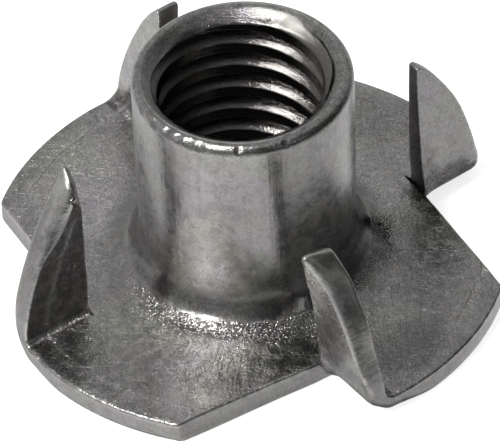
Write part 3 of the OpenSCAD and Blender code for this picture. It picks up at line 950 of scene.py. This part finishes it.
    # ---- gloss
    ro = g.remap(n_mid, 0.3, 0.7, 0.22, 0.33, "LINEAR")
    ro = g.add(ro, g.mul(flat, g.remap(n_fine, 0.3, 0.7, -0.06, 0.06, "LINEAR")))
    ro = g.math("SUBTRACT", ro, g.mul(polish_and_highlight, 0.05))
    ro = g.add(ro, g.mul(shear, 0.08), g.mul(fracture, 0.10), g.mul(pit, 0.10))
    ro = g.math("SUBTRACT", ro, g.mul(bore, 0.15))
    foot = g.mul(g.band(r, 4.70, 4.90, 5.6, 6.6), g.remap(z, 2.6, 3.4, 1.0, 0.0), g.remap(z, 0.9, 1.1))
    ro = g.math("SUBTRACT", ro, g.add(g.mul(foot, 0.11), g.mul(g.remap(z, 10.3, 10.5), g.inv(bore), 0.09)))
    ro = g.math("SUBTRACT", ro, g.mul(wear_and_highlight, 0.06))
    ro = g.add(ro, g.mul(painted_dark, 0.22))
    g.put(bs.inputs["Roughness"], g.math("MAXIMUM", ro, 0.11))
    bs.inputs["Metallic"].default_value = 1.0
    return mat


me.materials.append(steel())

# ---------------------------------------------------------------- floor
bpy.context.scene.view_settings.view_transform = "Standard"
floor_me = bpy.data.meshes.new("floor")
floor_me.from_pydata([(-0.6, -0.6, -0.00004), (0.6, -0.6, -0.00004), (0.6, 0.6, -0.00004), (-0.6, 0.6, -0.00004)], [], [(0, 1, 2, 3)])
floor = bpy.data.objects.new("floor", floor_me)
bpy.context.scene.collection.objects.link(floor)
fm = bpy.data.materials.new("floor")
fm.use_nodes = True
fb = fm.node_tree.nodes["Principled BSDF"]
fb.inputs["Base Color"].default_value = (0.93, 0.93, 0.93, 1)
fb.inputs["Roughness"].default_value = 0.9
fb.inputs["Emission Color"].default_value = (1, 1, 1, 1)
fb.inputs["Emission Strength"].default_value = 0.75
floor_me.materials.append(fm)
floor.visible_glossy = False
# the floor's patch inside the hole gets no light: a black disc that only reflections see
disc_me = bpy.data.meshes.new("floor_shade")
disc_me.from_pydata([(0.0042 * math.cos(q), 0.0042 * math.sin(q), -0.00005) for q in np.arange(48) / 48 * TAU], [], [tuple(range(48))])
disc = bpy.data.objects.new("floor_shade", disc_me)
bpy.context.scene.collection.objects.link(disc)
dm = bpy.data.materials.new("floor_shade")
dm.use_nodes = True
dm.node_tree.nodes["Principled BSDF"].inputs["Base Color"].default_value = (0.01, 0.01, 0.01, 1)
disc_me.materials.append(dm)
disc.visible_camera = disc.visible_diffuse = disc.visible_shadow = disc.visible_transmission = False


# ---------------------------------------------------------------- light
def toward(az, el=0.0):
    return (math.cos(rad(az)) * math.cos(rad(el)), math.sin(rad(az)) * math.cos(rad(el)), math.sin(rad(el)))


# a soft room: brightness by elevation (as z), a dim side to the east, a lighter one to the west
WORLD_EL = [(-1.0, 0.10), (-0.90, 0.16), (-0.80, 0.55), (-0.70, 0.95), (-0.52, 0.90), (-0.34, 0.62), (-0.12, 0.42), (0.12, 0.31), (0.45, 0.34), (0.80, 0.38), (1.0, 0.38)]
world = bpy.data.worlds.new("studio")
bpy.context.scene.world = world
world.use_nodes = True
w = Nodes(world.node_tree)
bg = world.node_tree.nodes["Background"]
direction = w.vec("NORMALIZE", w.new("ShaderNodeTexCoord").outputs["Generated"])
ramp = w.new("ShaderNodeValToRGB")
w.put(ramp.inputs[0], w.remap(w.split(direction)[2], -1, 1, kind="LINEAR"))
el = ramp.color_ramp
el.interpolation = "B_SPLINE"
el.elements[0].position, el.elements[1].position = 0.0, 1.0
for i, (z, v) in enumerate(WORLD_EL):
    q = el.elements[0] if i == 0 else el.elements[-1] if i == len(WORLD_EL) - 1 else el.elements.new((z + 1) / 2)
    q.color = (v, v, v, 1)


def lobe(az, el_, inner, outer, a, b):
    """a outside the outer angle, b inside the inner one, as a factor on the room's light."""
    return w.remap(w.vec("DOT_PRODUCT", direction, toward(az, el_)), math.cos(rad(outer)), math.cos(rad(inner)), a, b)


dz = w.split(direction)[2]
shade = w.mul(w.remap(w.vec("DOT_PRODUCT", w.vec("NORMALIZE", w.vec("MULTIPLY", direction, (1, 1, 0))), toward(27)), 0.05, 0.85), w.band(dz, -0.50, -0.14, 0.78, 0.97))
level = w.mul(ramp.outputs[0], w.remap(shade, 0.0, 1.0, 1.0, 0.14, "LINEAR"), lobe(-165, 5, 20, 60, 1.0, 1.25), lobe(35, -44, 14, 38, 1.0, 0.78), lobe(160, -44, 12, 30, 1.0, 0.72))
level = w.add(level, w.mul(0.12, lobe(-84, 47, 5, 40, 0.0, 1.0)), w.mul(0.16, lobe(-60, -46, 12, 42, 0.0, 1.0)))
# seen directly, the room is a plain pale backdrop
lp = w.new("ShaderNodeLightPath")
seen = w.new("ShaderNodeMix", data_type="FLOAT")
w.put(seen.inputs[0], lp.outputs["Is Camera Ray"])
w.put(seen.inputs[2], level)
seen.inputs[3].default_value = 0.93
w.put(bg.inputs["Strength"], seen.outputs[0])
bg.inputs["Color"].default_value = (1, 1, 1, 1)


def area(name, az, el_, dist, size, radiance, look=(0, 0, 0.005), turn_=0.0):
    """A soft rectangular light on a sphere round the part, set by its own brightness."""
    d = bpy.data.lights.new(name, "AREA")
    d.shape = "RECTANGLE"
    d.size, d.size_y = size
    d.energy = radiance * math.pi * size[0] * size[1]
    o = bpy.data.objects.new(name, d)
    bpy.context.scene.collection.objects.link(o)
    at = Vector(look) + Vector(toward(az, el_)) * dist
    o.location = at
    o.rotation_euler = (Vector(look) - at).to_track_quat("-Z", "Y").to_euler()
    return o


area("key", -86, 47, 0.42, (0.19, 0.055), 11.5)
area("spot", -91, 66, 0.42, (0.05, 0.06), 60.0)
area("strip_east", 8, 26, 0.42, (0.03, 0.22), 1.2)
area("strip_north", 141, 20, 0.42, (0.05, 0.26), 1.0)

F_PX, AZ, EL, ROLL, DIST, CX, CY, LOOK = 7998.62, 2.3052 + 52.47, 44.0853, -2.8872, 335.10, -0.1742, 1.8645, 5.0
a, e, ro = rad(AZ), rad(EL), rad(ROLL)
back = np.array([math.sin(a) * math.cos(e), -math.cos(a) * math.cos(e), math.sin(e)])
right = np.array([math.cos(a), math.sin(a), 0.0])
up = np.cross(back, right)
r2, u2 = math.cos(ro) * right + math.sin(ro) * up, -math.sin(ro) * right + math.cos(ro) * up
eye = (np.array([0, 0, LOOK]) + back * DIST - r2 * CX - u2 * CY) * MM
cam_data = bpy.data.cameras.new("camera")
cam_data.sensor_fit = "HORIZONTAL"
cam_data.sensor_width = 36
cam_data.lens = F_PX / 500 * 36
cam_data.clip_start = 0.01
cam_data.clip_end = 5
cam = bpy.data.objects.new("camera", cam_data)
bpy.context.scene.collection.objects.link(cam)
m = Matrix.Identity(4)
for i in range(3):
    m[i][0], m[i][1], m[i][2], m[i][3] = r2[i], u2[i], back[i], eye[i]
cam.matrix_world = m
bpy.context.scene.camera = cam
